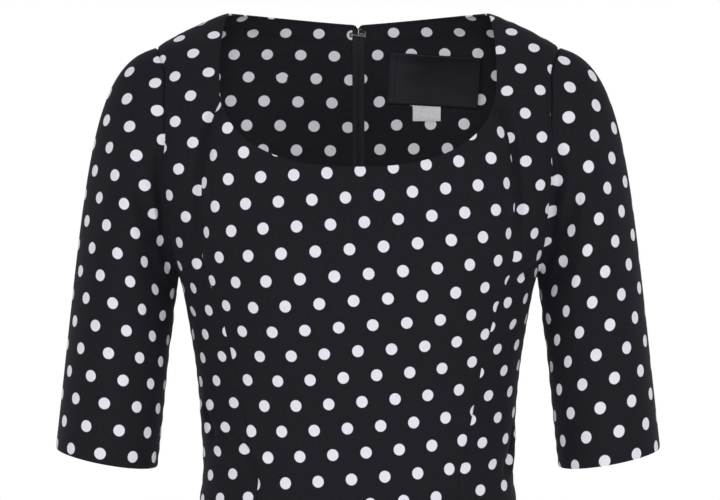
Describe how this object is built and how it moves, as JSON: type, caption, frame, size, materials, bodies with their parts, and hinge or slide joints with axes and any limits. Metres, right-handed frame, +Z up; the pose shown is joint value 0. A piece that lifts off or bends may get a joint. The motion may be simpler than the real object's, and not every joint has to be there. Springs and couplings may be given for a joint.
{
  "type": "pencil dress in its worn form, held up by a wearer's shoulders",
  "caption": "Hollow worn form of a knee-length pencil dress with a scoop neck, elbow-length set-in sleeves, princess seams and a centre-back zip with a hinged pull tab.",
  "frame": {"origin": "midway between the two neck points, at the height of the inner ends of the shoulder seams", "axes": "+Z up, -Y to the front of the dress, +X to the viewer's right"},
  "size_m": [0.574, 0.2563, 1.0547],
  "materials": {
    "dress_cloth": "matte bluish-black woven cloth with evenly spaced white dots",
    "zip_tape": "dark woven tape",
    "zip_metal": "dark painted metal, satin",
    "hook_metal": "bright wire",
    "label_cloth": "bluish-black satin weave, bare",
    "tag_cloth": "white woven tag, bare"
  },
  "bodies": {
    "dress": {"front_centre": "dress_cloth", "front_side_left": "dress_cloth", "front_side_right": "dress_cloth", "back_left": "dress_cloth", "back_right": "dress_cloth", "sleeve_left": "dress_cloth", "sleeve_right": "dress_cloth", "zip_tape": "zip_tape", "zip_slider": "zip_metal", "neck_hook": "hook_metal", "neck_eye": "hook_metal", "neck_label": "label_cloth", "size_tag": "tag_cloth"},
    "pull": {"zip_pull": "zip_metal"}
  },
  "joints": [
    {"name": "pull_hinge", "type": "hinge", "parent": "dress", "child": "pull", "pos_m": [0, 0.08102, -0.0266], "axis": [1, 0, 0], "range_deg": [0, 150]}
  ]
}
